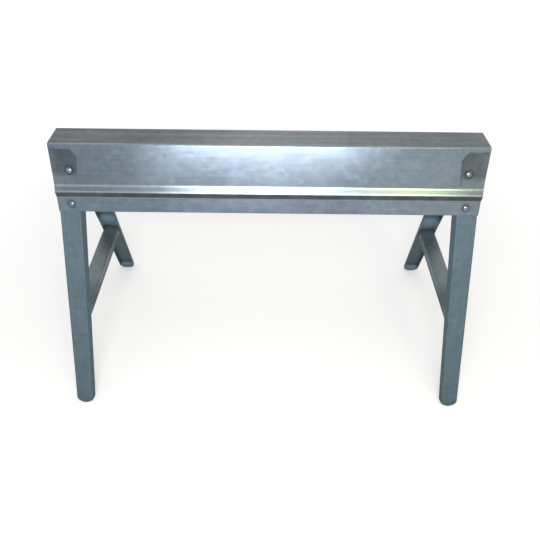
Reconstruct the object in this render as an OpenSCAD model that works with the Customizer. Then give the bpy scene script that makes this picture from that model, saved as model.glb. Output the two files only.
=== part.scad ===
// Stacking builders trestle of pressed galvanised sheet, standing on its four feet.
// +X runs along the beam, -Y is the front, the floor is at z = 0 and all lengths are in millimetres.

/* [Overall] */
// Height of the flat top above the floor
stand_h = 606; // [480:1:760]

/* [Beam] */
// Length of the beam
beam_l = 914; // [700:1:1200]
// Width of the flat top, from corner line to corner line
top_w = 66; // [60:1:90]
// Sheet thickness of the beam
beam_t = 1.5; // [1:0.1:2]
// Radius of the beam's folds, on the outside of the bend
beam_fold_r = 4; // [3:0.5:6]
// Drop of each side panel, from the top to the ledge
panel_h = 78; // [70:1:96]
// Slope of each side panel, in degrees from upright
panel_slope = 22; // [21.5:0.1:22.5]
// Drop of the pressed ledge below the panel
ledge_h = 13.5; // [10:0.5:16]
// Slope of the ledge, in degrees from upright
ledge_slope = 34; // [30:1:45]
// Drop of the undercut below the ledge
undercut_h = 12; // [10:0.5:16]
// Slope of the undercut, in degrees from upright and inwards
undercut_slope = 4; // [3:0.5:10]
// Drop of the skirt that the legs are riveted to
skirt_h = 28.5; // [26:0.5:40]

/* [Recesses] */
// Width of a recess at its floor
recess_w = 38; // [32:1:40]
// Reach of a recess floor above its rivet
recess_up = 38; // [20:1:40]
// Reach of a recess floor below its rivet
recess_down = 14; // [11:1:18]
// Draft of the recess sides, in degrees from square
recess_draft = 60; // [45:1:65]

/* [Legs] */
// Slope of the legs towards front and rear, in degrees from upright
leg_tilt = 22; // [21.5:0.1:22.5]
// Slope of the legs towards the beam's ends, in degrees from upright
leg_splay = 5.6; // [4:0.1:7]
// Distance from the beam's end to the leg's centre line, at the upper rivet
leg_inset = 31.5; // [30:0.5:60]
// Drop of the leg's top end below the flat top
leg_top_drop = 30; // [26:1:34]
// Width of a leg's face at its top end
leg_top_w = 46; // [40:0.5:48]
// Width of a leg's face at the floor
leg_foot_w = 41; // [34:0.5:42]
// Depth of the leg's channel at its top end
leg_top_depth = 23; // [18:0.5:26]
// Depth of the leg's channel at the floor
leg_foot_depth = 14; // [10:0.5:18]
// Draft of the leg's side flanges, in degrees from square, so that legs stack
leg_draft = 9.3; // [5:0.1:12]
// Sheet thickness of the legs
leg_t = 1.5; // [1:0.1:2]
// Radius of the rounded foot
foot_r = 24; // [24:0.5:30]
// Length of foot that is flattened against the floor
foot_flat = 16; // [8:0.5:20]

/* [Braces] */
// Height of the middle of the brace's shelf above the floor
brace_z = 236; // [180:1:300]
// Height of the brace's side flanges
brace_h = 16; // [12:0.5:24]
// Sheet thickness of the braces
brace_t = 1.5; // [1:0.1:2]
// Radius of the brace's folds, on the outside of the bend
brace_fold_r = 4; // [2.5:0.5:6]
// Depth that the brace's ends reach into the legs' channels
brace_lap = 3; // [2:0.5:5]
// Weld gap between the brace's ends and the legs' side flanges
weld_gap = 0.3; // [0.2:0.05:0.5]

/* [Rivets] */
// Diameter of the domed head
head_d = 13; // [10:0.5:16]
// Height of the domed head
head_h = 4; // [2.5:0.1:5]
// Diameter of the shank
shank_d = 8; // [5:0.1:8.5]
// Clearance round the shank in each hole
shank_gap = 0.1; // [0.05:0.05:0.3]
// Drop of the upper rivets below the flat top
upper_drop = 51; // [48:1:56]
// Drop of the lower rivets below the top of the skirt
lower_drop = 13; // [11:0.5:15]
// Offset of the rivets from the leg's centre line, towards the beam's middle
rivet_offset = 5; // [0:0.5:6]
// Diameter of the formed tail
tail_d = 12; // [9:0.5:14]
// Height of the formed tail
tail_h = 3; // [2:0.1:4]
// Diameter of the washer under the tail
washer_d = 18; // [15:0.5:22]
// Thickness of the washer under the tail
washer_t = 1.5; // [1:0.1:2]

/* [Hidden] */

// Straight steps in each fold, and round steps in each circle
fold_steps = 6;
$fn = 64;
// Overrun of every cut past the face that it opens
overrun = 2;

// Heights of the beam's fold lines
ledge_z = stand_h - panel_h;
lip_z = ledge_z - ledge_h;
skirt_z = lip_z - undercut_h;
beam_z = skirt_z - skirt_h;
// Distances of the beam's fold lines from the middle plane
top_y = top_w / 2;
ledge_y = top_y + panel_h * tan(panel_slope);
lip_y = ledge_y + ledge_h * tan(ledge_slope);
skirt_y = lip_y - undercut_h * tan(undercut_slope);
beam_y = skirt_y + skirt_h * tan(leg_tilt);
// Outer line of the beam's section on one side, from its lower edge to the top
side_line = [[beam_y, beam_z], [skirt_y, skirt_z], [lip_y, lip_z], [ledge_y, ledge_z], [top_y, stand_h]];
// Outer line of the whole section, from the front edge over the top to the rear edge
beam_line = concat([for (p = side_line) [-p.x, p.y]], [for (i = [len(side_line) - 1 : -1 : 0]) side_line[i]]);

// Heights of the rivets and of the legs' top ends
upper_z = stand_h - upper_drop;
lower_z = skirt_z - lower_drop;
leg_top_z = stand_h - leg_top_drop;
// Turn of a leg's centre line within the plane of its face
plane_splay = atan(tan(leg_splay) * cos(leg_tilt));
// Length of a leg along its centre line, and the turns of its sides and of its rim that taper it
leg_l = leg_top_z / (cos(leg_tilt) * cos(plane_splay));
side_turn = atan((leg_top_w - leg_foot_w) / 2 / leg_l);
rim_turn = atan((leg_top_depth - leg_foot_depth) / leg_l);
// Depth below the floor of the foot's full circle, before it is flattened
foot_drop = foot_r - sqrt(foot_r * foot_r - foot_flat * foot_flat / 4);
// Depth below the leg's face at which a brace ends, and half the brace's width that fits there
brace_depth = leg_foot_depth + (leg_top_depth - leg_foot_depth) * brace_z / leg_top_z - brace_lap;
brace_half = leg_half(brace_z - brace_h) - leg_t / cos(leg_draft) + brace_depth * tan(leg_draft) - weld_gap;
// Sizes that reach past the whole part
reach = 2 * (stand_h + beam_l);

// Distance of a leg's face from the middle plane at height z, against the inside of the skirt
function face_y(z) = skirt_y + (skirt_z - z) * tan(leg_tilt) - beam_t / cos(leg_tilt);
// Distance of a leg's centre line from the beam's middle at height z
function axis_x(z) = beam_l / 2 - leg_inset + (upper_z - z) * tan(leg_splay);
// Half the width of a leg's face at height z
function leg_half(z) = (leg_foot_w + (leg_top_w - leg_foot_w) * z / leg_top_z) / 2;

// Vector helpers for the folded sections
function unit(v) = v / norm(v);
function left_of(d) = [-d.y, d.x];
function spin(d, a) = [d.x * cos(a) - d.y * sin(a), d.x * sin(a) + d.y * cos(a)];
function turn_at(a, b, c) =
    let (p = unit(b - a), q = unit(c - b))
    atan2(p.x * q.y - p.y * q.x, p.x * q.x + p.y * q.y);

// Points and outward normals round one fold at b, with radius r on the outside of the sheet
function fold(a, b, c, r) =
    let (p = unit(b - a), turn = turn_at(a, b, c), side = sign(turn))
    let (start = b - p * r * tan(abs(turn) / 2))
    let (centre = start + side * r * left_of(p))
    [for (k = [0 : fold_steps])
        let (d = spin(p, turn * k / fold_steps))
        [centre - side * r * left_of(d), left_of(d)]];

// Points and outward normals along a folded line, with the sheet on its right-hand side
function folded(line, t, r) =
    let (last = len(line) - 1)
    concat(
        [[line[0], left_of(unit(line[1] - line[0]))]],
        [for (i = [1 : last - 1])
            let (tight = turn_at(line[i - 1], line[i], line[i + 1]) < 0 ? r : r - t)
            each fold(line[i - 1], line[i], line[i + 1], tight)],
        [[line[last], left_of(unit(line[last] - line[last - 1]))]]);

// Outline of the solid side of a folded line, and of a sheet of thickness t along it
function filled_outline(line, t, r) = [for (s = folded(line, t, r)) s[0]];
function sheet_outline(line, t, r) =
    let (s = folded(line, t, r))
    concat([for (p = s) p[0]], [for (i = [len(s) - 1 : -1 : 0]) s[i][0] - s[i][1] * t]);

// A section in the Y-Z plane, drawn out along X
module along_x(length) {
    rotate([90, 0, 90])
        linear_extrude(height = length, center = true)
            children();
}

// A section in the X-Z plane, drawn out along Y
module along_y(length) {
    rotate([90, 0, 0])
        linear_extrude(height = length, center = true)
            children();
}

// Moves what is made for the front right corner to another corner
module corner(left, rear) {
    mirror([left ? 1 : 0, 0, 0])
        mirror([0, rear ? 1 : 0, 0])
            children();
}

// Puts children on the front right leg's centre line at height z, with +Z square out of the leg's face
module on_leg(z) {
    translate([axis_x(z), -face_y(z), z])
        rotate([90 - leg_tilt, 0, 0])
            rotate([0, 0, plane_splay])
                children();
}

// Everything deeper than the given depth below the front right leg's face, up to the given length
module below_face(depth, length) {
    on_leg(0)
        translate([-reach / 2, length - reach, -reach - depth])
            cube([reach, reach, reach]);
}

// Everything in front of the plane of the front right leg's rim
module before_rim() {
    on_leg(0)
        translate([0, 0, -leg_foot_depth])
            rotate([-rim_turn, 0, 0])
                translate([-reach / 2, -reach / 2, 0])
                    cube([reach, reach, reach]);
}

// Everything between the front right leg's side flanges, drawn in by the given inset
module between_sides(inset) {
    on_leg(0)
        intersection_for(side = [0, 1])
            mirror([side, 0, 0])
                translate([leg_foot_w / 2, 0, 0])
                    rotate([0, 0, -side_turn])
                        rotate([0, -leg_draft, 0])
                            translate([-reach - inset, -reach / 2, -reach / 2])
                                cube([reach, reach, reach]);
}

// Everything above the rounded foot and the floor, drawn in by the given inset
module above_foot(inset) {
    foot_z = foot_r - foot_drop;
    intersection() {
        union() {
            translate([axis_x(foot_z), 0, foot_z])
                rotate([90, 0, 0])
                    cylinder(r = foot_r - inset, h = reach, center = true);
            translate([-reach / 2, -reach / 2, foot_z])
                cube([reach, reach, reach]);
        }
        translate([-reach / 2, -reach / 2, inset])
            cube([reach, reach, reach]);
    }
}

// Puts children on the front right leg's rivet at height z
module on_rivet(z) {
    on_leg(z)
        translate([-rivet_offset, 0, 0])
            children();
}

// Holes for both rivets of the front right leg
module rivet_holes() {
    for (z = [upper_z, lower_z])
        on_rivet(z)
            cylinder(d = shank_d + 2 * shank_gap, h = 2 * leg_top_depth, center = true);
}

// A block with drafted sides that stands on the recess floor, grown sideways by side and lowered by under
module recess_block(side, under) {
    high = leg_top_depth;
    low = beam_t - under;
    grow = (high - beam_t) * tan(recess_draft) + side;
    shrink = side - under * tan(recess_draft);
    on_leg(upper_z)
        intersection() {
            rotate([90, 0, 0])
                linear_extrude(height = reach, center = true)
                    polygon([
                        [-recess_w / 2 - shrink, low],
                        [recess_w / 2 + shrink, low],
                        [recess_w / 2 + grow, high],
                        [-recess_w / 2 - grow, high],
                    ]);
            rotate([90, 0, 90])
                linear_extrude(height = reach, center = true)
                    polygon([
                        [-recess_down - shrink, low],
                        [recess_up + shrink, low],
                        [recess_up + grow, high],
                        [-recess_down - grow, high],
                    ]);
        }
}

// The folded beam, with a pressed recess and two rivet holes at each corner
module top_beam() {
    color("silver")
        difference() {
            union() {
                along_x(beam_l)
                    polygon(sheet_outline(beam_line, beam_t, beam_fold_r));
                intersection() {
                    along_x(beam_l)
                        polygon(filled_outline(beam_line, beam_t, beam_fold_r));
                    for (left = [false, true], rear = [false, true])
                        corner(left, rear)
                            recess_block(beam_t / cos(recess_draft), beam_t);
                }
            }
            for (left = [false, true], rear = [false, true])
                corner(left, rear) {
                    recess_block(0, 0);
                    rivet_holes();
                }
        }
}

// One leg: a tapered channel whose side flange runs round the foot
module leg(left, rear) {
    color("lightsteelblue")
        corner(left, rear)
            difference() {
                intersection() {
                    below_face(0, leg_l);
                    before_rim();
                    between_sides(0);
                    above_foot(0);
                }
                intersection() {
                    below_face(leg_t, leg_l + overrun);
                    between_sides(leg_t);
                    above_foot(leg_t);
                }
                rivet_holes();
            }
}

// One brace: a shelf with side flanges, whose ends sit inside the channels of the two legs of one end
module brace(left) {
    section = [[-brace_half, -brace_h], [-brace_half, 0], [brace_half, 0], [brace_half, -brace_h]];
    color("gainsboro")
        corner(left, false)
            intersection() {
                translate([axis_x(brace_z + brace_depth * sin(leg_tilt)), 0, brace_z])
                    rotate([0, -leg_splay, 0])
                        along_y(reach)
                            polygon(sheet_outline(section, brace_t, brace_fold_r));
                below_face(brace_depth, reach);
                corner(false, true)
                    below_face(brace_depth, reach);
            }
}

// One rivet: a domed head, a shank through beam, leg and washer, and a formed tail
module rivet(left, rear, z) {
    grip = beam_t + leg_t + washer_t;
    dome_r = (head_d * head_d / 4 + head_h * head_h) / (2 * head_h);
    color("white")
        corner(left, rear)
            on_rivet(z) {
                translate([0, 0, beam_t])
                    intersection() {
                        translate([0, 0, head_h - dome_r])
                            sphere(r = dome_r);
                        cylinder(d = head_d, h = head_h);
                    }
                translate([0, 0, beam_t - grip])
                    cylinder(d = shank_d, h = grip);
                translate([0, 0, beam_t - grip - tail_h])
                    cylinder(d = tail_d, h = tail_h);
            }
}

// One washer between the leg's inside and the rivet's tail
module washer(left, rear, z) {
    color("gray")
        corner(left, rear)
            on_rivet(z)
                translate([0, 0, -leg_t - washer_t])
                    difference() {
                        cylinder(d = washer_d, h = washer_t);
                        cylinder(d = shank_d + 2 * shank_gap, h = 2 * (washer_t + overrun), center = true);
                    }
}

top_beam();
leg(true, false);  // leg_front_left
leg(false, false);  // leg_front_right
leg(true, true);  // leg_rear_left
leg(false, true);  // leg_rear_right
brace(true);  // brace_left
brace(false);  // brace_right
rivet(true, false, upper_z);  // rivet_upper_front_left
rivet(false, false, upper_z);  // rivet_upper_front_right
rivet(true, true, upper_z);  // rivet_upper_rear_left
rivet(false, true, upper_z);  // rivet_upper_rear_right
rivet(true, false, lower_z);  // rivet_lower_front_left
rivet(false, false, lower_z);  // rivet_lower_front_right
rivet(true, true, lower_z);  // rivet_lower_rear_left
rivet(false, true, lower_z);  // rivet_lower_rear_right
washer(true, false, upper_z);  // washer_upper_front_left
washer(false, false, upper_z);  // washer_upper_front_right
washer(true, true, upper_z);  // washer_upper_rear_left
washer(false, true, upper_z);  // washer_upper_rear_right
washer(true, false, lower_z);  // washer_lower_front_left
washer(false, false, lower_z);  // washer_lower_front_right
washer(true, true, lower_z);  // washer_lower_rear_left
washer(false, true, lower_z);  // washer_lower_rear_right
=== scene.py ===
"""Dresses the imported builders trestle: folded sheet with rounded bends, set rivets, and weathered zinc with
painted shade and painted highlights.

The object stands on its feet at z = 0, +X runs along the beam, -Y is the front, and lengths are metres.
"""

import functools
import logging
import math
from collections.abc import Mapping
from dataclasses import dataclass
from enum import Enum
from typing import Any

import bmesh
import bpy
import numpy as np
import numpy.typing as npt
from mathutils import Euler, Matrix, Vector


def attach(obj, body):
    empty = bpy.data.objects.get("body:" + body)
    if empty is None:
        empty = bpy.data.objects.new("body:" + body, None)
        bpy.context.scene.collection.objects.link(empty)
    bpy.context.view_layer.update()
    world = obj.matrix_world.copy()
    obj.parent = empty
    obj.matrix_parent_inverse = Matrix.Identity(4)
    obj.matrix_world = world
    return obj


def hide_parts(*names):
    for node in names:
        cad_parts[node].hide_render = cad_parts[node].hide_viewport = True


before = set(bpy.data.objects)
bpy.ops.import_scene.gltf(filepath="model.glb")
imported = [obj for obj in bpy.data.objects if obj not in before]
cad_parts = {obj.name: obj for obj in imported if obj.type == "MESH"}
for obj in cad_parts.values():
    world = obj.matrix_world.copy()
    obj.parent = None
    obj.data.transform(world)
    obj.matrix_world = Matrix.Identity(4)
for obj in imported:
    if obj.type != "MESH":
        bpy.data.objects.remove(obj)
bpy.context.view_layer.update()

Array = npt.NDArray[np.float64]
Quads = npt.NDArray[np.int64]
Colour = tuple[float, float, float]
Point = tuple[float, float, float]
Range = tuple[float, float]

LOG = logging.getLogger("trestle")
BODY = "root"
PHOTO_PIXELS = 540
SENSOR = 36.0
WHITE = (1.0, 1.0, 1.0, 1.0)

# Points that are joined, poles of a grid, eased cut edges, edges that stay sharp and points on the top
WELD_DISTANCE = 1e-6
POLE_AREA = 1e-12
EASE_WIDTH = 0.0003
EASE_STEPS = 2
EASE_ANGLE = math.radians(55.0)
SHARP_ANGLE = math.radians(38.0)
TOP_GAP = 1e-5

# Repeats of the zinc's patterns per metre, and of its streaks along and across the sheet
WARP = 60.0
COARSE_CRYSTALS = 95.0
FINE_CRYSTALS = 300.0
CLOUDS = 9.0
POLISH_AND_SHEEN_GRAIN = 130.0
SHADE_AND_SOIL_GRAIN = 45.0
ROLLED_STREAKS = (5.0, 260.0, 1.0)
BROAD_STREAKS = (1.5, 85.0, 1.0)
SCRATCHES = (14.0, 900.0, 1.0)

# Reach of the warp, blend of the coarse crystals, and weights and limits of the patterns
WARP_REACH = (0.010, 0.010, 0.010)
CRYSTAL_BLEND = 0.6
COARSE_WEIGHT = 0.72
TREAD_STREAKS = 1.3
SCRATCH_WEIGHT = 0.25
SCRATCH_LIMITS = (0.66, 0.74)
POLISH_AND_SHEEN_MEAN = 0.70
POLISH_AND_SHEEN_SWING = 0.5
SHADE_AND_SOIL_BASE = 0.6
SHADE_AND_SOIL_SWING = 0.8
SHADE_AND_SOIL_LIMITS = (0.2, 1.2)
CRYSTAL_ROUGHNESS = 0.03
CLOUD_ROUGHNESS = 0.04
POLISH_SMOOTHNESS = 0.04
SHADE_AND_SOIL_ROUGHNESS = 0.06

# Plate: repeats of its mottle and clouds per metre, weight of the mottle, limits, and swing of roughness
PLATE_MOTTLE = 420.0
PLATE_CLOUDS = 90.0
MOTTLE_WEIGHT = 0.6
PLATE_LIMITS = (0.3, 0.7)
PLATE_ROUGHNESS = 0.2

# Sockets of the Mix node that carry colours
MIX_FIRST = 6
MIX_SECOND = 7
MIX_RESULT = 2


class Mirror(Enum):
    """Places that mirror the front right one, each with its signs along X and Y."""

    def __init__(self, label: str, along: float, across: float) -> None:
        """Keeps the place's label and its signs."""
        self.label = label
        self.signs = np.array([along, across, 1.0])

    def turned(self, quads: Quads) -> list[list[int]]:
        """The quads, turned over if the mirror turns faces over."""
        return (quads[:, ::-1] if np.prod(self.signs) < 0.0 else quads).tolist()


class Corner(Mirror):
    """The four corners of the trestle."""

    FRONT_RIGHT = ("front_right", 1.0, 1.0)
    FRONT_LEFT = ("front_left", -1.0, 1.0)
    REAR_RIGHT = ("rear_right", 1.0, -1.0)
    REAR_LEFT = ("rear_left", -1.0, -1.0)


class End(Mirror):
    """The two ends of the trestle."""

    RIGHT = ("right", 1.0, 1.0)
    LEFT = ("left", -1.0, 1.0)


class Row(Enum):
    """The two rows of rivets."""

    UPPER = "upper"
    LOWER = "lower"


def smoothstep(low: float, high: float, value: Array) -> Array:
    """An S-curve from 0 at low to 1 at high: 3 t squared minus 2 t cubed of the share t of the way."""
    t = np.clip((value - low) / (high - low), 0.0, 1.0)
    return t * t * (3.0 - 2.0 * t)


def folded_line(corners: Array, radii: Array, steps: int, spacing: float) -> tuple[Array, Array]:
    """A line through corners whose inner corners are arcs that touch both sides.

    At a corner that turns by an angle a, an arc of radius r starts r tan(a / 2) before the corner and
    turns about a centre that lies r to the side of that start.

    Args:
        corners: Corner points, one row of two each.
        radii: Radius at each inner corner.
        steps: Steps in each arc.
        spacing: Longest step on the flats between arcs.

    Returns:
        The points, and for each the weight of the fold: 1 amid an arc and 0 on a flat.
    """
    spans = np.diff(corners, axis=0)
    ways = spans / np.linalg.norm(spans, axis=1, keepdims=True)
    before, after = ways[:-1], ways[1:]
    to_left = np.stack([-before[:, 1], before[:, 0]], axis=1)
    turn = np.arctan2(np.sum(to_left * after, axis=1), np.sum(before * after, axis=1))
    starts = corners[1:-1] - before * (radii * np.tan(np.abs(turn) / 2.0))[:, None]
    arm = -to_left * (np.sign(turn) * radii)[:, None]
    square = np.stack([-arm[:, 1], arm[:, 0]], axis=1)
    share = np.linspace(0.0, 1.0, steps + 1)
    angle = (turn[:, None] * share)[..., None]
    arcs = (starts - arm)[:, None] + np.cos(angle) * arm[:, None] + np.sin(angle) * square[:, None]
    tails = np.concatenate([corners[:1], arcs[:, -1]])
    heads = np.concatenate([arcs[:, 0], corners[-1:]])
    points: list[Array] = [corners[:1]]
    weights: list[Array] = [np.zeros(1)]
    for number, (tail, head) in enumerate(zip(tails, heads)):
        count = max(1, math.ceil(float(np.linalg.norm(head - tail)) / spacing))
        flat = np.linspace(0.0, 1.0, count + 1)[1:, None]
        points.append(tail + (head - tail) * flat)
        weights.append(np.zeros(count))
        if number < len(arcs):
            points.append(arcs[number, 1:])
            weights.append(np.sin(math.pi * share[1:]))
    return np.concatenate(points), np.concatenate(weights)


def run_length(line: Array) -> Array:
    """Distance of each point of a line from its first point, along the line."""
    steps = np.linalg.norm(np.diff(line, axis=0), axis=1)
    return np.concatenate([[0.0], np.cumsum(steps)])


def grid_quads(rows: int, columns: int) -> Quads:
    """The quads of a grid whose points are numbered row by row."""
    index = np.arange(rows * columns).reshape(rows, columns)
    return np.stack([index[:-1, :-1], index[1:, :-1], index[1:, 1:], index[:-1, 1:]], axis=-1).reshape(-1, 4)


def add_object(name: str, data: bpy.types.ID) -> bpy.types.Object:
    """Adds an object to the scene.

    Args:
        name: Name of the object.
        data: Its mesh, lamp or camera.

    Returns:
        The object.
    """
    added = bpy.data.objects.new(name, data)
    bpy.context.scene.collection.objects.link(added)
    return added


@dataclass
class Sheet:
    """A surface on a grid, with what its finish reads at each point.

    Attributes:
        points: Places, rows by columns by three.
        place: Distance along and across the piece, which streaks follow.
        fold: Weight of the bend at each point, which the finish polishes; on the beam it also carries a
            painted highlight.
        shade_and_dirt: Weight of the dirt and the painted shade at each point.
        tread: Weight of the wear under loads at each point.
        inner: Weight of the inner side's other colour at each point, which on the legs is painted light.
    """

    points: Array
    place: Array
    fold: Array
    shade_and_dirt: Array
    tread: Array
    inner: Array

    def normals(self) -> Array:
        """Unit normals: the cross product of the steps down and along the grid.

        At a pole, where that product is nothing, the next column's is taken.

        Returns:
            The normals, rows by columns by three.
        """
        down, along = np.gradient(self.points, axis=(0, 1))
        square = np.cross(down, along)
        length = np.linalg.norm(square, axis=-1, keepdims=True)
        square = np.where(length < POLE_AREA, np.roll(square, -1, axis=1), square)
        return square / np.linalg.norm(square, axis=-1, keepdims=True)

    def shell(self, thickness: float, spine: bool) -> tuple[Array, Quads]:
        """The sheet with its inner side and its cut edges.

        The inner side lies one thickness below the surface along its normals. Each cut edge is a strip of
        quads from the outer to the inner border.

        Args:
            thickness: Sheet thickness.
            spine: Whether the first column is a line inside the sheet, which has no cut edge.

        Returns:
            The points of both sides, and the quads.
        """
        rows, columns = self.points.shape[:2]
        outer = grid_quads(rows, columns)
        index = np.arange(rows * columns).reshape(rows, columns)
        inner = outer[:, ::-1] + index.size
        lines = [index[0], index[-1, ::-1], index[:, -1]] + ([] if spine else [index[::-1, 0]])
        edges = [np.stack([t[:-1], t[1:], t[1:] + index.size, t[:-1] + index.size], axis=-1) for t in lines]
        below = self.points - thickness * self.normals()
        points = np.concatenate([self.points.reshape(-1, 3), below.reshape(-1, 3)])
        return points, np.concatenate([outer, inner, *edges])

    def to_object(
        self, name: str, thickness: float, mirror: Mirror = Corner.FRONT_RIGHT, spine: bool = False
    ) -> bpy.types.Object:
        """Makes the closed piece.

        Args:
            name: Name of the piece.
            thickness: Sheet thickness that grows inwards.
            mirror: Place to which the piece is mirrored.
            spine: Whether the first column is a line inside the sheet.

        Returns:
            The object, at the origin, with its cut edges eased.
        """
        points, quads = self.shell(thickness, spine)
        mesh = bpy.data.meshes.new(name)
        mesh.from_pydata(points * mirror.signs, [], mirror.turned(quads))
        size = self.fold.size
        place = np.concatenate([self.place.reshape(-1, 2), np.zeros((size, 1))], axis=1)
        vectors = mesh.attributes.new("place", "FLOAT_VECTOR", "POINT")
        vectors.data.foreach_set("vector", np.tile(place, (2, 1)).ravel())
        weights = {"fold": self.fold, "shade_and_dirt": self.shade_and_dirt, "tread": self.tread}
        values = {key: np.tile(weight.ravel(), 2) for key, weight in weights.items()}
        values["inside"] = np.concatenate([np.zeros(size), self.inner.ravel()])
        for key, value in values.items():
            mesh.attributes.new(key, "FLOAT", "POINT").data.foreach_set("value", value)
        weld(mesh)
        piece = add_object(name, mesh)
        eased = piece.modifiers.new("eased", "BEVEL")
        eased.width = EASE_WIDTH
        eased.segments = EASE_STEPS
        eased.limit_method = "ANGLE"
        eased.angle_limit = EASE_ANGLE
        evaluated = piece.evaluated_get(bpy.context.evaluated_depsgraph_get())
        finished = bpy.data.meshes.new_from_object(evaluated)
        piece.modifiers.clear()
        piece.data = finished
        bpy.data.meshes.remove(mesh)
        shade(finished)
        return piece


def weld(mesh: bpy.types.Mesh) -> None:
    """Joins points that lie on each other.

    Args:
        mesh: Mesh to change.
    """
    work = bmesh.new()
    work.from_mesh(mesh)
    bmesh.ops.remove_doubles(work, verts=work.verts, dist=WELD_DISTANCE)
    work.to_mesh(mesh)
    work.free()


def shade(mesh: bpy.types.Mesh) -> None:
    """Shades a mesh smooth except across sharp edges."""
    mesh.polygons.foreach_set("use_smooth", np.ones(len(mesh.polygons), dtype=bool))
    mesh.set_sharp_from_angle(angle=SHARP_ANGLE)


class Wire:
    """One value in a material's graph, on which Python's operators add Math nodes."""

    def __init__(self, graph: "Graph", socket: bpy.types.NodeSocket) -> None:
        """Wraps an output socket of the graph."""
        self.graph = graph
        self.socket = socket

    def _math(self, operation: str, other: "Wire | float") -> "Wire":
        """One Math node on this value and another."""
        return self.graph.node("ShaderNodeMath", {"operation": operation}, {0: self, 1: other})

    __add__ = __radd__ = functools.partialmethod(_math, "ADD")
    __sub__ = functools.partialmethod(_math, "SUBTRACT")
    __mul__ = __rmul__ = functools.partialmethod(_math, "MULTIPLY")

    def swing(self) -> "Wire":
        """How far this pattern lies from a half, its mean."""
        return self - 0.5

    def span(self, low: float, high: float) -> "Wire":
        """This value mapped from low and high to 0 and 1 on an S-curve."""
        ends = {"Value": self, "From Min": low, "From Max": high}
        return self.graph.node("ShaderNodeMapRange", {"interpolation_type": "SMOOTHSTEP"}, ends)


class Graph:
    """The nodes of one material or world."""

    def __init__(self, owner: bpy.types.Material | bpy.types.World) -> None:
        """Empties the node tree.

        Args:
            owner: Material or world that has the nodes.
        """
        owner.use_nodes = True
        self.tree = owner.node_tree
        self.tree.nodes.clear()

    def node(
        self,
        kind: str,
        settings: Mapping[str, Any],
        inputs: Mapping[str | int, Any],
        output: str | int = 0,
    ) -> Wire:
        """Adds any node.

        Args:
            kind: The node's type.
            settings: Properties, set before the sockets.
            inputs: Values or wires for the sockets, by name or number.
            output: The output socket that is wanted.

        Returns:
            The wanted output.
        """
        node = self.tree.nodes.new(kind)
        for key, value in settings.items():
            setattr(node, key, value)
        for key, value in inputs.items():
            if isinstance(value, Wire):
                self.tree.links.new(value.socket, node.inputs[key])
            else:
                node.inputs[key].default_value = value
        return Wire(self, node.outputs[output])

    def surface(self, shader: Wire, kind: str = "ShaderNodeOutputMaterial") -> None:
        """Ends the graph in its output."""
        end = self.tree.nodes.new(kind)
        self.tree.links.new(shader.socket, end.inputs["Surface"])

    def principled(self, inputs: Mapping[str, Any]) -> None:
        """Ends the graph in a principled shader."""
        self.surface(self.node("ShaderNodeBsdfPrincipled", {}, inputs))

    def mix(self, share: Wire, first: "Colour | Wire", second: "Colour | Wire") -> Wire:
        """A colour between two.

        Args:
            share: Share of the second colour, from 0 to 1.
            first: First colour.
            second: Second colour.

        Returns:
            The colour.
        """
        ends = [end if isinstance(end, Wire) else (*end, 1.0) for end in (first, second)]
        inputs = {0: share, MIX_FIRST: ends[0], MIX_SECOND: ends[1]}
        return self.node("ShaderNodeMix", {"data_type": "RGBA"}, inputs, MIX_RESULT)

    def attribute(self, name: str, output: str) -> Wire:
        """A value that the piece's own points carry."""
        return self.node("ShaderNodeAttribute", {"attribute_name": name}, {}, output)

    def scaled(self, vector: Wire, factors: tuple[float, float, float]) -> Wire:
        """A vector times a factor along each axis."""
        return self.node("ShaderNodeVectorMath", {"operation": "MULTIPLY"}, {0: vector, 1: factors})

    def noise(self, vector: Wire, scale: float, detail: float, output: str = "Fac") -> Wire:
        """Cloudy noise from 0 to 1."""
        inputs = {"Vector": vector, "Scale": scale, "Detail": detail}
        return self.node("ShaderNodeTexNoise", {}, inputs, output)

    def cells(self, feature: str, channel: int, inputs: Mapping[str, Any]) -> Wire:
        """One channel of the colours of random cells, from 0 to 1."""
        colours = self.node("ShaderNodeTexVoronoi", {"feature": feature}, inputs, "Color")
        return self.node("ShaderNodeSeparateColor", {}, {0: colours}, channel)


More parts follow.
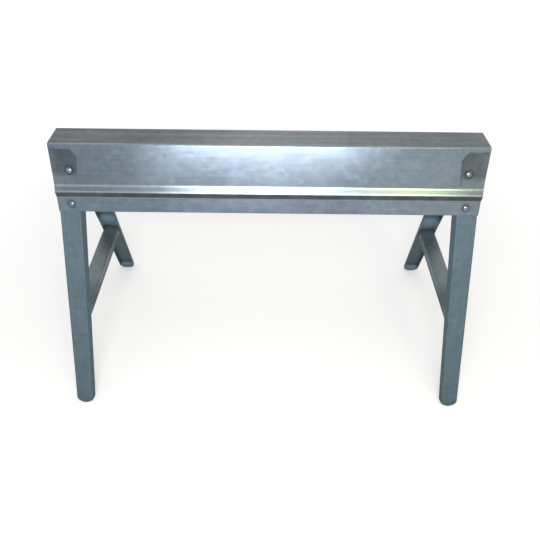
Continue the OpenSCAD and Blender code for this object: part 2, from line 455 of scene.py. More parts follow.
@dataclass(frozen=True)
class ZincFinish:
    """Galvanised sheet: spangled crystals, rolling streaks, polished bends and dirt, with painted shade and
    painted highlights.

    Attributes:
        slot: Material slot of the record.
        dark: Colour of the dark crystals.
        light: Colour of the light crystals.
        worn: Colour of the bends, where handling polishes the zinc; the beam's light one is also a painted
            highlight.
        shade_and_dirt_colour: Colour of the dirt and of the painted shade.
        inner: Colour of the inner side where it differs; the legs' pale one is painted light.
        metallic: Share of bare metal.
        roughness: Mean roughness.
        blotch: Contrast of the broad clouds.
        spangle: Contrast of the crystals.
        streak: Contrast of the rolling streaks.
        gloss: Weight of the smooth skin that gives the sharp highlight.
        trodden: Dark and light colour of the flat that carries loads, if there is one.
        scuffed: Roughness that loads add to the flat that carries them.
    """

    slot: str
    dark: Colour
    light: Colour
    worn: Colour
    shade_and_dirt_colour: Colour
    inner: Colour
    metallic: float
    roughness: float
    blotch: float
    spangle: float = 0.60
    streak: float = 0.75
    gloss: float = 0.0
    trodden: tuple[Colour, Colour] | None = None
    scuffed: float = 0.0

    @functools.cached_property
    def material(self) -> bpy.types.Material:
        """The finish, built when it is first asked for.

        The share of light crystals is a half plus the weighted departures of crystals, streaks and clouds
        from their means. Loads change the colour and add roughness, bends go towards the bends' colour and
        get smoother, with a painted highlight on the beam's bends, dirt and painted shade go over both, and
        the inner side's other colour goes over everything, which on the legs' insides is painted light.

        Returns:
            The material.
        """
        material = bpy.data.materials.new(self.slot)
        graph = Graph(material)
        where = graph.node("ShaderNodeTexCoord", {}, {}, "Object")
        place = graph.attribute("place", "Vector")
        keys = ("fold", "shade_and_dirt", "tread", "inside")
        fold, shade_and_dirt, tread, inside = (graph.attribute(key, "Fac") for key in keys)
        warp = {0: graph.noise(where, WARP, detail=2.0, output="Color"), 1: WARP_REACH, 2: where}
        bent = graph.node("ShaderNodeVectorMath", {"operation": "MULTIPLY_ADD"}, warp)
        blended = {"Vector": bent, "Scale": COARSE_CRYSTALS, "Smoothness": CRYSTAL_BLEND}
        coarse = graph.cells("SMOOTH_F1", channel=0, inputs=blended)
        fine = graph.cells("F1", channel=1, inputs={"Vector": bent, "Scale": FINE_CRYSTALS})
        crystals = COARSE_WEIGHT * coarse + (1.0 - COARSE_WEIGHT) * fine
        rolled = graph.noise(graph.scaled(place, ROLLED_STREAKS), 1.0, detail=4.0)
        scratch = graph.noise(graph.scaled(place, SCRATCHES), 1.0, detail=1.0).span(*SCRATCH_LIMITS)
        cloud = graph.noise(where, CLOUDS, detail=3.0)
        share = (
            0.5
            + self.spangle * crystals.swing()
            + self.streak * rolled.swing()
            + self.blotch * cloud.swing()
        )
        colour = graph.mix(share, self.dark, self.light)
        if self.trodden is not None:
            broad = graph.noise(graph.scaled(place, BROAD_STREAKS), 1.0, detail=2.0)
            colour = graph.mix(tread, colour, graph.mix(share + TREAD_STREAKS * broad.swing(), *self.trodden))
        # Lighter bends: handling polish, and on the beam a painted highlight.
        patches = graph.noise(where, POLISH_AND_SHEEN_GRAIN, detail=3.0).swing()
        polish_and_sheen = fold * (POLISH_AND_SHEEN_MEAN + POLISH_AND_SHEEN_SWING * patches)
        colour = graph.mix(polish_and_sheen, colour, self.worn)
        colour = graph.mix(SCRATCH_WEIGHT * scratch, colour, self.worn)
        # Mix towards the dark colour: dirt, and painted shade on the beam and the braces.
        patches = graph.noise(where, SHADE_AND_SOIL_GRAIN, detail=4.0)
        shade_and_soil = shade_and_dirt * (SHADE_AND_SOIL_BASE + SHADE_AND_SOIL_SWING * patches).span(*SHADE_AND_SOIL_LIMITS)
        colour = graph.mix(shade_and_soil, colour, self.shade_and_dirt_colour)
        colour = graph.mix(inside, colour, self.inner)
        rough = (
            self.roughness
            + CRYSTAL_ROUGHNESS * crystals.swing()
            + CLOUD_ROUGHNESS * cloud.swing()
            - POLISH_SMOOTHNESS * polish_and_sheen
            + SHADE_AND_SOIL_ROUGHNESS * shade_and_soil
            + self.scuffed * tread
        )
        relief = {"Strength": 0.035, "Distance": 0.0006, "Height": 0.5 * crystals + 0.5 * rolled}
        graph.principled(
            {
                "Base Color": colour,
                "Roughness": rough,
                "Metallic": self.metallic,
                "Normal": graph.node("ShaderNodeBump", {}, relief),
                "Specular Tint": (0.35, 0.35, 0.35, 1.0),
                "Coat Weight": self.gloss,
                "Coat Roughness": 0.32,
            }
        )
        return material


@dataclass(frozen=True)
class PlatedFinish:
    """Zinc plate on small turned and pressed pieces, brighter where it is rubbed.

    Attributes:
        slot: Material slot of the record.
        dull: Colour of the untouched plate.
        bright: Colour of the rubbed plate.
        roughness: Mean roughness.
    """

    slot: str
    dull: Colour
    bright: Colour
    roughness: float

    @functools.cached_property
    def material(self) -> bpy.types.Material:
        """The finish: mottled plate whose bright share follows cloudy noise at two scales.

        Returns:
            The material.
        """
        material = bpy.data.materials.new(self.slot)
        graph = Graph(material)
        where = graph.node("ShaderNodeTexCoord", {}, {}, "Object")
        mottle = graph.noise(where, PLATE_MOTTLE, detail=4.0)
        cloud = graph.noise(where, PLATE_CLOUDS, detail=2.0)
        rubbed = (MOTTLE_WEIGHT * mottle + (1.0 - MOTTLE_WEIGHT) * cloud).span(*PLATE_LIMITS)
        colour = graph.mix(rubbed, self.dull, self.bright)
        relief = {"Strength": 0.2, "Distance": 0.0003, "Height": mottle}
        graph.principled(
            {
                "Base Color": colour,
                "Roughness": self.roughness + PLATE_ROUGHNESS * mottle.swing(),
                "Metallic": 0.95,
                "Normal": graph.node("ShaderNodeBump", {}, relief),
            }
        )
        return material


BEAM_ZINC = ZincFinish(
    slot="beam_zinc",
    dark=(0.109, 0.139, 0.172),
    light=(0.185, 0.234, 0.287),
    # The beam's light colour for its bends is polish and a painted highlight.
    worn=(0.394, 0.416, 0.394),
    # Dark colour of the beam's painted shade.
    shade_and_dirt_colour=(0.043, 0.053, 0.058),
    metallic=0.92,
    roughness=0.245,
    spangle=0.42,
    streak=0.60,
    blotch=1.10,
    gloss=0.25,
    inner=(0.045, 0.060, 0.074),
    trodden=((0.118, 0.137, 0.145), (0.232, 0.254, 0.260)),
    scuffed=0.14,
)
LEG_ZINC = ZincFinish(
    slot="leg_zinc",
    dark=(0.096, 0.140, 0.168),
    light=(0.153, 0.215, 0.252),
    worn=(0.124, 0.173, 0.204),
    shade_and_dirt_colour=(0.050, 0.083, 0.105),
    metallic=0.55,
    roughness=0.58,
    blotch=0.90,
    # Pale inner colour: painted light on the legs' insides.
    inner=(0.35, 0.47, 0.56),
)
BRACE_ZINC = ZincFinish(
    slot="brace_zinc",
    dark=(0.158, 0.200, 0.216),
    light=(0.253, 0.307, 0.328),
    worn=(0.222, 0.259, 0.273),
    # Dark colour of the brace's painted shade.
    shade_and_dirt_colour=(0.070, 0.096, 0.112),
    metallic=0.60,
    roughness=0.38,
    blotch=1.00,
    inner=(0.052, 0.064, 0.070),
)
RIVET_ZINC = PlatedFinish("rivet_zinc", dull=(0.12, 0.15, 0.175), bright=(0.27, 0.31, 0.34), roughness=0.25)
WASHER_ZINC = PlatedFinish("washer_zinc", dull=(0.20, 0.21, 0.22), bright=(0.38, 0.39, 0.40), roughness=0.36)


@dataclass(frozen=True)
class Stance:
    """The lines that the beam, the legs, the braces and the rivets share.

    Attributes:
        height: Height of the flat top.
        beam_half: Half the beam's length.
        beam_t: Sheet thickness of the beam.
        skirt_y: Distance of the top of the skirt's outside from the middle plane.
        skirt_z: Height of the top of the skirt.
        tilt: Slope of skirts and legs towards front and rear, in radians from upright.
        splay: Slope of the legs towards the ends, in radians from upright.
        leg_inset: Distance from the beam's end to a leg's centre line, at the upper rivet.
        upper_z: Height of the upper rivets.
        lower_z: Height of the lower rivets.
        rivet_offset: Distance of the rivets from a leg's centre line, towards the beam's middle.
    """

    height: float = 0.606
    beam_half: float = 0.457
    beam_t: float = 0.0015
    skirt_y: float = 0.07278
    skirt_z: float = 0.5025
    tilt: float = math.radians(22.0)
    splay: float = math.radians(5.6)
    leg_inset: float = 0.0315
    upper_z: float = 0.555
    lower_z: float = 0.4895
    rivet_offset: float = 0.005

    def skirt_face(self, z: Array | float) -> Array | float:
        """Distance from the middle plane of the plane that holds the skirt's outside, at height z."""
        return self.skirt_y + (self.skirt_z - z) * math.tan(self.tilt)

    def leg_face(self, z: Array | float) -> Array | float:
        """Distance of a leg's face from the middle plane at height z: the skirt's inside."""
        return self.skirt_face(z) - self.beam_t / math.cos(self.tilt)

    def axis_x(self, z: Array | float) -> Array | float:
        """Distance of a leg's centre line from the beam's middle at height z."""
        return self.beam_half - self.leg_inset + (self.upper_z - z) * math.tan(self.splay)

    def leg_axes(self) -> tuple[Array, Array, Array]:
        """Directions of the front right leg's face.

        Returns:
            Unit vectors across, up and out of the face.
        """
        spin = math.atan(math.tan(self.splay) * math.cos(self.tilt))
        right = np.array([1.0, 0.0, 0.0])
        rise = np.array([0.0, math.sin(self.tilt), math.cos(self.tilt)])
        across = math.cos(spin) * right + math.sin(spin) * rise
        up = math.cos(spin) * rise - math.sin(spin) * right
        return across, up, np.cross(across, up)

    def on_axis(self, z: float) -> Array:
        """The point of the front right leg's centre line at height z, on the leg's face."""
        return np.array([self.axis_x(z), -self.leg_face(z), z])


# Points along the beam: length of its ends, points along an end, and from an end to the middle
END_ZONE = 0.064
END_POINTS = 44
MIDDLE_POINTS = 26

# Polish and painted highlight on the beam's bends: drop and weight of the top's folds, and width of the
# painted highlight lines along the ledge and their insets
TOP_FOLD_DROP = 0.006
TOP_FOLD_POLISH_AND_SHEEN = 0.5
LEDGE_SHEEN_WIDTH = 0.0016
LEDGE_SHEEN_INSETS = (0.0012, 0.0016)

# Painted shade on the beam, below the ledge, in the recesses and round the rivets: weights, and places
# between which it begins or ends, from the edge that it follows
BAND_START = (-0.002, 0.004)
BAND_END = (-0.001, 0.002)
OUTBOARD_START = (-0.004, 0.004)
OUTBOARD_END = (-0.014, -0.004)
RECESS_START = 0.012
RECESS_SHADE = 0.74
RING_END = (0.0065, 0.0125)
RING_SHADE = 0.8
BEAM_INSIDE = 0.25


@dataclass
class Beam:
    """The folded beam with its ledges, skirts and pressed recesses.

    Attributes:
        stance: Lines that the parts share.
        top_half: Half the width of the flat top.
        panel_h: Drop of each side panel.
        panel_slope: Slope of each side panel, in radians from upright.
        ledge_h: Drop of the pressed ledge.
        ledge_slope: Slope of the ledge, in radians from upright.
        skirt_h: Drop of the skirt.
        fold_r: Outside radius of the folds.
        recess_half: Half the width of a recess floor.
        recess_low: Height below which a recess floor rises to the ledge.
        recess_high: Height of a recess floor's upper edge.
        recess_ramp: Width of a recess's blended sides.
        recess_chamfer: Cut of a recess's upper inboard corner.
        recess_out_ease: Steepness of a recess's outboard side, next to its upper and inboard sides.
    """

    stance: Stance
    top_half: float = 0.033
    panel_h: float = 0.078
    panel_slope: float = math.radians(22.0)
    ledge_h: float = 0.0135
    ledge_slope: float = math.radians(34.0)
    skirt_h: float = 0.0285
    fold_r: float = 0.004
    recess_half: float = 0.019
    recess_low: float = 0.549
    recess_high: float = 0.593
    recess_ramp: float = 0.0045
    recess_chamfer: float = 0.012
    recess_out_ease: float = 0.20

    def panel_face(self, z: Array) -> Array:
        """Distance of a panel's outside from the middle plane at height z."""
        return self.top_half + (self.stance.height - z) * math.tan(self.panel_slope)

    def section(self) -> tuple[Array, Array]:
        """The outside of the section, from the front edge over the top to the rear edge.

        Returns:
            Points of Y and Z, and the weight of the fold at each.
        """
        stance = self.stance
        ledge_z = stance.height - self.panel_h
        lip_z = ledge_z - self.ledge_h
        ledge_y = self.top_half + self.panel_h * math.tan(self.panel_slope)
        lip_y = ledge_y + self.ledge_h * math.tan(self.ledge_slope)
        edge_z = stance.skirt_z - self.skirt_h
        side = np.array(
            [
                [stance.skirt_face(edge_z), edge_z],
                [stance.skirt_y, stance.skirt_z],
                [lip_y, lip_z],
                [ledge_y, ledge_z],
                [self.top_half, stance.height],
            ]
        )
        corners = np.concatenate([side * [-1.0, 1.0], side[::-1]])
        radii = np.full(len(corners) - 2, self.fold_r)
        return folded_line(corners, radii, steps=8, spacing=0.0016)

    def recess(self, x: Array, z: Array) -> Array:
        """How far each point lies in a recess, from 0 on the panel to 1 on the floor.

        The floor is a strip about the leg's centre line with its upper inboard corner cut off. Outside it the
        weight falls to 0 over the ramp, on an S-curve of the distance from the strip. Towards the ledge it
        falls in a line.

        Args:
            x: Places along the beam.
            z: Heights.

        Returns:
            The weights.
        """
        aside = np.abs(x) - self.stance.axis_x(z)
        wide = (np.abs(aside) - self.recess_half) * np.where(aside > 0.0, self.recess_out_ease, 1.0)
        tall = z - self.recess_high
        outside = np.hypot(np.maximum(wide, 0.0), np.maximum(tall, 0.0))
        outside = outside + np.minimum(np.maximum(wide, tall), 0.0)
        corner = (tall - aside - self.recess_half + self.recess_chamfer) / math.sqrt(2.0)
        ledge_z = self.stance.height - self.panel_h
        rise = np.clip((z - ledge_z) / (self.recess_low - ledge_z), 0.0, 1.0)
        return rise * (1.0 - smoothstep(0.0, self.recess_ramp, np.maximum(outside, corner)))

    def build(self) -> Sheet:
        """The outside of the beam: the section carried along X, with the recesses pressed in.

        A point of a panel moves in by the recess weight times its distance from the skirt's plane.

        Returns:
            The surface.
        """
        stance = self.stance
        zone_x = stance.beam_half - END_ZONE
        middle = np.linspace(0.0, zone_x, MIDDLE_POINTS)[:-1]
        half = np.concatenate([middle, np.linspace(zone_x, stance.beam_half, END_POINTS)])
        x = np.concatenate([half[:0:-1], -half])
        section, bend = self.section()
        y, z = (np.broadcast_to(part[:, None], (len(section), len(x))) for part in section.T)
        flat_top = z > stance.height - TOP_GAP
        on_panel = (z > stance.height - self.panel_h) & ~flat_top
        depth = self.panel_face(z) - stance.skirt_face(z)
        weight = self.recess(x[None, :], z) * on_panel
        points = np.stack([np.broadcast_to(x, z.shape), y - np.sign(y) * depth * weight, z], axis=-1)
        place = np.stack(np.broadcast_arrays(x[None, :], run_length(section)[:, None]), axis=-1)
        # The beam's bends are lighter through polish and a painted highlight; the two lines along the ledge
        # are painted highlight only.
        polish_and_sheen = np.where(z > stance.height - TOP_FOLD_DROP, TOP_FOLD_POLISH_AND_SHEEN, 1.0)
        fold = np.maximum(polish_and_sheen * bend[:, None], self.rubbed(z))
        # Painted shade below the ledge, in the recesses and round the rivet heads.
        shade_and_dirt = self.shade_and_soil(points, weight)
        return Sheet(points, place, fold, shade_and_dirt, flat_top * 1.0, np.full_like(fold, BEAM_INSIDE))

    def rubbed(self, z: Array) -> Array:
        """Painted highlight along the ledge, most along its two folds.

        Args:
            z: Heights.

        Returns:
            The weights.
        """
        ledge_z = self.stance.height - self.panel_h
        lines = (ledge_z - LEDGE_SHEEN_INSETS[0], ledge_z - self.ledge_h + LEDGE_SHEEN_INSETS[1])
        return np.max([np.exp(-(((z - line) / LEDGE_SHEEN_WIDTH) ** 2)) for line in lines], axis=0)

    def shade_and_soil(self, points: Array, recess: Array) -> Array:
        """Weight of the painted shade: below the ledge, in the recesses and in a ring round each rivet.

        Args:
            points: Places on the beam.
            recess: How far each point lies in a recess.

        Returns:
            The weights.
        """
        stance = self.stance
        x, z = np.abs(points[..., 0]), points[..., 2]
        lip_z = stance.height - self.panel_h - self.ledge_h
        band = smoothstep(*BAND_START, z - stance.skirt_z) * (1.0 - smoothstep(*BAND_END, z - lip_z))
        outboard = smoothstep(*OUTBOARD_START, x - stance.axis_x(z) - self.recess_half)
        on_panel = (z > lip_z) * (1.0 - smoothstep(*OUTBOARD_END, z - stance.height))
        pressed = np.maximum(recess, outboard * on_panel)
        pressed = pressed * smoothstep(self.recess_low - RECESS_START, stance.upper_z, z)
        weight = band + RECESS_SHADE * pressed
        for rivet_z in (stance.upper_z, stance.lower_z):
            aside = x - stance.axis_x(rivet_z) + stance.rivet_offset
            away = np.hypot(aside, (z - rivet_z) / math.cos(stance.tilt))
            weight = weight + RING_SHADE * (1.0 - smoothstep(*RING_END, away))
        return np.minimum(weight, 1.0)

    def dress(self) -> None:
        """Adds the beam and its finish."""
        piece = self.build().to_object("beam_sheet", self.stance.beam_t)
        settle(piece, BEAM_ZINC, "top_beam")


# Points across a leg's bend, and across half its face and its flange
BEND_POINTS = 10
FLAT_POINTS = 7

# Darker colour on a leg: near the floor, growing downwards, on the flanges and under the foot
FLOOR_DARK_HEIGHT = 0.03
FLOOR_DARKENING = 0.30
LOW_DARKENING = 0.32
FLANGE_DEPTH = 0.0015
FLANGE_DARKENING = 0.20
FOOT_DARKENING = 0.20

# Painted light on the pale inside of a leg: heights between which it begins and ends over the brace, and ends
# over the foot
PALE_START = (0.20, 0.26)
PALE_END = (0.272, 0.304)
PALE_FOOT_END = (0.006, 0.020)
LEG_INSIDE = 0.9


@dataclass
class Legs:
    """The four tapered channel legs.

    Attributes:
        stance: Lines that the parts share.
        top_z: Height of a leg's upper end.
        top_half: Half the width of a leg's face at its upper end.
        foot_half: Half the width of a leg's face at the floor.
        top_depth: Depth of the channel at its upper end.
        foot_depth: Depth of the channel at the floor.
        draft: Draft of the side flanges, in radians from square.
        thickness: Sheet thickness.
        bend_r: Outside radius of the bend between face and flange.
        foot_r: Radius of the rounded foot.
        foot_turn: Half the angle that the foot turns through, in radians.
        foot_corner_r: Radius of the corners between the foot and the sides.
        foot_sink: Length of the foot that is flattened at the floor.
        foot_pad: Depth that the flange gains under the foot.
        turn_length: Length above the foot over which the flange turns level.
        draft_start: Steepness of the corner line from which the draft begins.
    """

    stance: Stance
    top_z: float = 0.576
    top_half: float = 0.023
    foot_half: float = 0.0205
    top_depth: float = 0.023
    foot_depth: float = 0.014
    draft: float = math.radians(9.3)
    thickness: float = 0.0015
    bend_r: float = 0.0038
    foot_r: float = 0.0238
    foot_turn: float = math.radians(52.0)
    foot_corner_r: float = 0.006
    foot_sink: float = 0.0004
    foot_pad: float = 0.005
    turn_length: float = 0.060
    draft_start: float = 0.2

    def outline(self, length: float) -> tuple[Array, Array]:
        """The corner line round the leg's face: down one side, round the foot and up the other side.

        The sides meet two slanting lines at the foot's corners, and the slanting lines meet in the middle.
        Arcs round all three corners, and the middle one touches the floor.

        Args:
            length: Length of the leg along its centre line.

        Returns:
            Places across and up the face, and the outward normals: the steps along the line, turned left.
        """
        drop = self.foot_half * math.tan(self.foot_turn)
        arch = self.foot_r * (1.0 / math.cos(self.foot_turn) - 1.0)
        corner = drop - arch - self.foot_sink
        side = np.array([[self.top_half, length], [self.foot_half, corner]])
        corners = np.concatenate([side, [[0.0, corner - drop]], side[::-1] * [-1.0, 1.0]])
        radii = np.array([self.foot_corner_r, self.foot_r, self.foot_corner_r])
        line, _ = folded_line(corners, radii, steps=18, spacing=0.008)
        step = np.gradient(line, axis=0)
        step /= np.linalg.norm(step, axis=1, keepdims=True)
        return line, np.stack([-step[:, 1], step[:, 0]], axis=1)

    def bend(self, draft: Array) -> tuple[Array, Array, Array]:
        """The section over the bend between face and flange.

        The bend turns by a right angle less the draft, from a start r tan(turn / 2) inside the corner line.

        Args:
            draft: Draft of the flange at each point of the corner line, in radians.

        Returns:
            Share of the turn, and for each point distance outside the corner line and depth below the face.
        """
        share = np.linspace(0.0, 1.0, BEND_POINTS)
        turn = math.pi / 2.0 - draft[:, None]
        across = self.bend_r * (np.sin(share * turn) - np.tan(turn / 2.0))
        return share, across, self.bend_r * (1.0 - np.cos(share * turn))

    def build(self) -> Sheet:
        """The outside of the front right leg.

        On the face a point lies between the centre line and the start of the bend. On the bend and the flange
        it lies outside the corner line by its distance in the section, along the corner line's normal, and
        below the face by its depth. The depth runs square to the face on the sides and level at the foot,
        where the draft ends too, so that the foot stands on its flange, and nothing goes below the floor.

        Returns:
            The surface.
        """
        stance = self.stance
        across_way, up_way, out_way = stance.leg_axes()
        length = self.top_z / float(up_way[2])
        line, normal = self.outline(length)
        draft = self.draft * smoothstep(self.draft_start, 1.0, np.abs(normal[:, 0]))
        turned, bend_across, bend_depth = self.bend(draft)
        under = 1.0 - normal[:, :1] ** 2
        rim = self.foot_depth + (self.top_depth - self.foot_depth) * line[:, 1:] / length
        rim = rim + self.foot_pad * under
        bend_end = bend_depth[:, -1:]
        steps = np.linspace(0.0, 1.0, FLAT_POINTS)
        flange_depth = bend_end + (rim - bend_end) * steps[None, 1:]
        distance = np.concatenate([bend_across, flange_depth * np.tan(draft)[:, None]], axis=1)
        outer = line[:, None, :] + distance[..., None] * normal[:, None, :]
        middle = np.stack([np.zeros(len(line)), np.maximum(line[:, 1], self.foot_r)], axis=1)[:, None, :]
        face = middle + (outer[:, :1] - middle) * steps[None, :-1, None]
        flat = np.concatenate([face, outer], axis=1)
        depth = np.concatenate([np.zeros(face.shape[:2]), bend_depth, flange_depth], axis=1)
        level = (1.0 - smoothstep(0.0, self.turn_length, line[:, 1] - self.foot_r / 2.0))[:, None, None]
        sink = (level - 1.0) * out_way + level * np.array([0.0, 1.0 / math.cos(stance.tilt), 0.0])
        points = stance.on_axis(0.0) + flat[..., :1] * across_way + flat[..., 1:] * up_way
        points = points + depth[..., None] * sink
        z = np.maximum(points[..., 2], 0.0)
        points[..., 2] = z
        fold = np.zeros_like(depth)
        fold[:, face.shape[1] : face.shape[1] + len(turned)] = np.sin(math.pi * turned)
        place = np.stack([flat[..., 1], flat[..., 0] + depth], axis=-1)
        # Darker near the floor, towards the bottom, on the flanges and under the foot.
        shade_and_dirt = FLOOR_DARKENING * (1.0 - smoothstep(0.0, FLOOR_DARK_HEIGHT, z)) + LOW_DARKENING * (1.0 - z / self.top_z)
        shade_and_dirt = shade_and_dirt + (FLANGE_DARKENING + FOOT_DARKENING * under) * smoothstep(0.0, FLANGE_DEPTH, depth)
        # The pale inside over the brace and by the foot is painted light.
        painted_light = smoothstep(*PALE_START, z) * (1.0 - smoothstep(*PALE_END, z))
        inner = LEG_INSIDE * np.maximum(painted_light, 1.0 - smoothstep(*PALE_FOOT_END, z))
        return Sheet(points, place, fold, np.minimum(shade_and_dirt, 1.0), np.zeros_like(fold), inner)

    def dress(self) -> None:
        """Adds the legs and their finish."""
        sheet = self.build()
        for corner in Corner:
            name = f"leg_sheet_{corner.label}"
            piece = sheet.to_object(name, self.thickness, corner, spine=True)
            settle(piece, LEG_ZINC, f"leg_{corner.label}")


# Points along a brace
BRACE_POINTS = 41

# Painted shade on a brace, by share of its half length: towards the ends, less at the tips, and on the
# flanges
OUTER_START = (0.20, 0.64)
OUTER_SHADE = 0.60
TIP_START = (0.74, 0.95)
TIP_LOSS = 0.48
SIDE_DROP = 0.004
SIDE_SHADE = 0.45
BRACE_INSIDE = 0.35


@dataclass
class Braces:
    """The flanged shelf across the legs of each end.

    Attributes:
        stance: Lines that the parts share.
        z: Height of the middle of the shelf.
        half: Half the width of the shelf.
        flange_h: Height of the side flanges.
        thickness: Sheet thickness.
        fold_r: Outside radius of the folds.
        depth: Depth below the legs' faces down to which the brace has its full width.
        tip_depth: Depth below the legs' faces at which the brace ends.
        tip_width: Width of the brace's ends next to its full width.
    """

    stance: Stance
    z: float = 0.236
    half: float = 0.02183
    flange_h: float = 0.016
    thickness: float = 0.0015
    fold_r: float = 0.004
    depth: float = 0.01469
    tip_depth: float = 0.0018
    tip_width: float = 0.85

    def build(self) -> Sheet:
        """The outside of the right brace: its section, turned with the legs' splay, carried from leg to leg.

        Inside the legs' channels the section narrows in a line towards the backs of the legs' faces.

        Returns:
            The surface.
        """
        stance = self.stance
        corners = np.array(
            [[-self.half, -self.flange_h], [-self.half, 0.0], [self.half, 0.0], [self.half, -self.flange_h]]
        )
        section, bend = folded_line(corners, np.full(2, self.fold_r), steps=8, spacing=0.004)
        share = np.linspace(-1.0, 1.0, BRACE_POINTS)
        share = np.concatenate([share[:1], share, share[-1:]])
        tip = np.zeros(len(share))
        tip[[0, -1]] = 1.0
        aside = section[:, :1] * (1.0 - (1.0 - self.tip_width) * tip)
        drop = section[:, 1:]
        x = aside * math.cos(stance.splay) - drop * math.sin(stance.splay)
        x = x + stance.axis_x(self.z + self.depth * math.sin(stance.tilt))
        z = self.z + aside * math.sin(stance.splay) + drop * math.cos(stance.splay)
        depth = self.depth + (self.tip_depth - self.depth) * tip
        points = np.stack([x, (stance.leg_face(z) - depth / math.cos(stance.tilt)) * share, z], axis=-1)
        place = np.stack(np.broadcast_arrays(points[..., 1], run_length(section)[:, None]), axis=-1)
        fold = np.broadcast_to(bend[:, None], z.shape)
        # Darker towards the ends, less at the tips, and on the flanges: painted shade.
        off_middle = np.abs(share)
        shade_and_dirt = OUTER_SHADE * smoothstep(*OUTER_START, off_middle)
        shade_and_dirt = shade_and_dirt - TIP_LOSS * smoothstep(*TIP_START, off_middle)
        shade_and_dirt = np.minimum(shade_and_dirt + SIDE_SHADE * smoothstep(0.0, SIDE_DROP, -drop), 1.0)
        return Sheet(points, place, fold, shade_and_dirt, np.zeros_like(z), np.full_like(z, BRACE_INSIDE))

    def dress(self) -> None:
        """Adds the braces and their finish."""
        sheet = self.build()
        for end in End:
            piece = sheet.to_object(f"brace_sheet_{end.label}", self.thickness, end)
            settle(piece, BRACE_ZINC, f"brace_{end.label}")


# Points over each dome of a rivet, and round it
DOME_POINTS = 15
TURN_POINTS = 41


@dataclass
class Rivets:
    """The domed rivets that hold the legs, with their washers.

    Attributes:
        stance: Lines that the parts share.
        head_r: Radius of the head.
        head_h: Height of the head.
        shank_r: Radius of the shank.
        grip: Depth of leg and washer below the leg's face.
        tail_r: Radius of the formed tail.
        tail_h: Height of the formed tail.
        rim: Height of the upright rim of head and tail.
        crown_r: Radius of the tail's flat crown.
    """

    stance: Stance
    head_r: float = 0.0065
    head_h: float = 0.004
    shank_r: float = 0.004
    grip: float = 0.003
    tail_r: float = 0.006
    tail_h: float = 0.003
    rim: float = 0.0006
    crown_r: float = 0.0024

    def profile(self) -> Array:
        """Radius and height from the head's crown to the tail's crown.

        The head is a quarter of a flattened ellipse on a short upright rim. The tail is a lower dome with a
        flat crown, as the setting tool leaves it.

        Returns:
            The points.
        """
        seat, rim = self.stance.beam_t, self.rim
        quarter = np.linspace(0.0, math.pi / 2.0, DOME_POINTS)
        head_z = seat + rim + (self.head_h - rim) * np.cos(quarter)
        head = np.stack([self.head_r * np.sin(quarter), head_z], axis=1)
        shank = np.array([[self.head_r, seat], [self.shank_r, seat], [self.shank_r, -self.grip]])
        falling = quarter[::-1]
        tail_z = -self.grip - rim - (self.tail_h - rim) * np.cos(falling)
        tail = np.stack([self.crown_r + (self.tail_r - self.crown_r) * np.sin(falling), tail_z], axis=1)
        under = np.array([[self.tail_r, -self.grip]])
        close = np.array([[0.0, -self.grip - self.tail_h]])
        return np.concatenate([head, shank, under, tail, close])

    def build(self, row: Row) -> tuple[Array, Quads]:
        """The front right rivet of a row: its profile turned about the leg's normal.

        Args:
            row: Which row of rivets.

        Returns:
            The points and the quads.
        """
        stance = self.stance
        across_way, up_way, out_way = stance.leg_axes()
        z = stance.upper_z if row is Row.UPPER else stance.lower_z
        centre = stance.on_axis(z) - stance.rivet_offset * across_way
        profile = self.profile()
        angle = np.linspace(0.0, 2.0 * math.pi, TURN_POINTS)
        ring = np.cos(angle)[:, None] * across_way + np.sin(angle)[:, None] * up_way
        points = centre + profile[:, :1, None] * ring + profile[:, 1, None, None] * out_way
        return points.reshape(-1, 3), grid_quads(*points.shape[:2])

    def dress(self) -> None:
        """Adds the rivets and their finish."""
        for row in Row:
            points, quads = self.build(row)
            for corner in Corner:
                name = f"{row.value}_{corner.label}"
                mesh = bpy.data.meshes.new(f"rivet_set_{name}")
                mesh.from_pydata(points * corner.signs, [], corner.turned(quads))
                weld(mesh)
                shade(mesh)
                settle(add_object(mesh.name, mesh), RIVET_ZINC, f"rivet_{name}")


def settle(piece: bpy.types.Object, finish: ZincFinish | PlatedFinish, node: str) -> None:
    """Gives a piece its finish, its body and the node that it stands for.

    Args:
        piece: The new piece.
        finish: Finish of the piece, which names the material slot of the record.
        node: Node that the piece replaces.
    """
    piece.data.materials.clear()
    piece.data.materials.append(finish.material)
    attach(piece, BODY)
    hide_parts(node)
    LOG.info("%s stands for %s with %d faces", piece.name, node, len(piece.data.polygons))


def dress_washers() -> None:
    """Gives the washers, whose shape is right as it is, their finish."""
    for row in Row:
        for corner in Corner:
            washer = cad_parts[f"washer_{row.value}_{corner.label}"]
            washer.data.materials.clear()
            washer.data.materials.append(WASHER_ZINC.material)
            LOG.info("%s keeps its shape", washer.name)


@dataclass(frozen=True)
class Lamp:
    """One soft rectangular lamp.

    Attributes:
        name: Name of the lamp.
        place: Where it stands.
        target: Point that it faces.
        size: Its width and height.
        power: Its power in watts.
        colour: Colour of its light.
    """

    name: str
    place: Point
    target: Point
    size: tuple[float, float]
    power: float
    colour: Colour

    def build(self) -> None:
        """Adds the lamp, which the camera does not see."""
        data = bpy.data.lights.new(self.name, "AREA")
        data.shape = "RECTANGLE"
        data.size, data.size_y = self.size
        data.energy = self.power
        data.color = self.colour
        lamp = add_object(self.name, data)
        way = Vector(self.target) - Vector(self.place)
        lamp.location = self.place
        lamp.rotation_euler = way.to_track_quat("-Z", "Y").to_euler()
        lamp.visible_camera = False


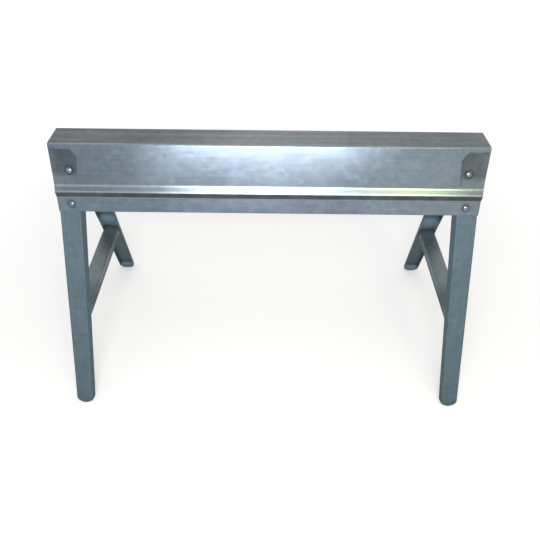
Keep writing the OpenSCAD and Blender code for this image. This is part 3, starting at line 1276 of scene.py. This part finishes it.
LAMPS = (
    Lamp("key", (-0.03, -1.45, 1.10), (-0.03, -0.05, 0.56), (0.90, 0.08), 8.8, (1.0, 0.97, 0.99)),
    Lamp("front", (-0.03, -1.0, 1.17), (0.0, -0.06, 0.52), (0.66, 0.08), 3.8, (1.0, 0.99, 0.96)),
    Lamp("side", (0.72, -1.45, 1.45), (0.26, -0.07, 0.52), (0.5, 0.15), 2.8, (1.0, 1.0, 0.50)),
    Lamp("right", (0.95, -1.47, 0.80), (0.36, -0.08, 0.52), (0.80, 0.35), 0.55, (1.0, 0.86, 0.60)),
    Lamp("rear", (0.0, 1.90, 1.75), (0.0, 0.0, 0.60), (0.8, 0.5), 2.0, (1.0, 1.0, 0.97)),
    Lamp("overhead", (0.0, 0.2, 2.4), (0.0, 0.0, 0.4), (2.4, 1.6), 4.0, (1.0, 1.0, 1.0)),
)


@dataclass
class Studio:
    """A pale floor, soft lamps and the camera.

    Attributes:
        eye: Place of the camera.
        pitch: Angle of the view below the horizon, in degrees.
        roll: Turn of the camera about its view, in degrees.
        focal_pixels: Focal length in pixels of the photograph.
        drop_pixels: Distance of the view's axis below the middle of the photograph, in pixels.
        floor_half: Half the side of the floor.
        floor_paint: Colour of the floor.
        near_glow: Light that the floor adds to reach white by the object, where the lamps reach it.
        far_glow: Light that the floor adds to reach white far from the object.
        glow_start: Distances from the origin between which the near glow becomes the far one.
        ambient: Strength of the world's light on the object.
    """

    eye: Point = (0.00515, -0.94789, 1.10366)
    pitch: float = 47.549
    roll: float = 0.627
    focal_pixels: float = 480.0
    drop_pixels: float = 40.77
    floor_half: float = 14.0
    floor_paint: tuple[float, float, float, float] = (0.86, 0.86, 0.86, 1.0)
    near_glow: float = 0.32
    far_glow: float = 0.60
    glow_start: Range = (0.5, 1.9)
    ambient: float = 0.48

    def camera(self) -> None:
        """Adds the camera at the photograph's angle."""
        data = bpy.data.cameras.new("camera")
        data.sensor_width = SENSOR
        data.lens = SENSOR * self.focal_pixels / PHOTO_PIXELS
        data.shift_y = self.drop_pixels / PHOTO_PIXELS
        camera = add_object("camera", data)
        tilt = Euler((math.radians(90.0 - self.pitch), 0.0, 0.0)).to_matrix()
        turn = tilt @ Matrix.Rotation(math.radians(self.roll), 3, "Z")
        camera.matrix_world = Matrix.Translation(self.eye) @ turn.to_4x4()
        bpy.context.scene.camera = camera

    def seen_directly(self, graph: Graph) -> Wire:
        """1 on rays from the camera, mirrors and glass, and 0 on the rest."""
        names = ("Is Camera Ray", "Is Glossy Ray", "Is Transmission Ray")
        return sum(graph.node("ShaderNodeLightPath", {}, {}, name) for name in names)

    def floor(self) -> None:
        """Adds the floor: pale, lit by the lamps, with a little glow that brings its open parts to white."""
        half = self.floor_half
        mesh = bpy.data.meshes.new("floor")
        corners = [(-half, -half, 0.0), (half, -half, 0.0), (half, half, 0.0), (-half, half, 0.0)]
        mesh.from_pydata(corners, [], [(0, 1, 2, 3)])
        floor = add_object("floor", mesh)
        material = bpy.data.materials.new("floor")
        graph = Graph(material)
        where = graph.node("ShaderNodeTexCoord", {}, {}, "Object")
        away = graph.node("ShaderNodeVectorMath", {"operation": "LENGTH"}, {0: where}, "Value")
        gain = (self.far_glow - self.near_glow) * away.span(*self.glow_start)
        glow = self.seen_directly(graph) * (self.near_glow + gain)
        paint = graph.node("ShaderNodeBsdfDiffuse", {}, {"Color": self.floor_paint})
        light = graph.node("ShaderNodeEmission", {}, {"Color": WHITE, "Strength": glow})
        graph.surface(graph.node("ShaderNodeAddShader", {}, {0: paint, 1: light}))
        mesh.materials.append(material)

    def world(self) -> None:
        """Sets a world that is white where it is seen and gives a plain soft light."""
        world = bpy.data.worlds.new("studio")
        bpy.context.scene.world = world
        graph = Graph(world)
        strength = self.ambient + (1.0 - self.ambient) * self.seen_directly(graph)
        light = graph.node("ShaderNodeBackground", {}, {"Color": WHITE, "Strength": strength})
        graph.surface(light, "ShaderNodeOutputWorld")

    def build(self) -> None:
        """Adds everything round the object."""
        bpy.context.scene.view_settings.view_transform = "Standard"
        self.camera()
        self.floor()
        self.world()
        for lamp in LAMPS:
            lamp.build()


def main() -> None:
    """Builds and dresses the trestle and its studio."""
    logging.basicConfig(level=logging.INFO, format="%(name)s: %(message)s")
    stance = Stance()
    Beam(stance).dress()
    Legs(stance).dress()
    Braces(stance).dress()
    Rivets(stance).dress()
    dress_washers()
    Studio().build()


if __name__ == "__main__":
    main()
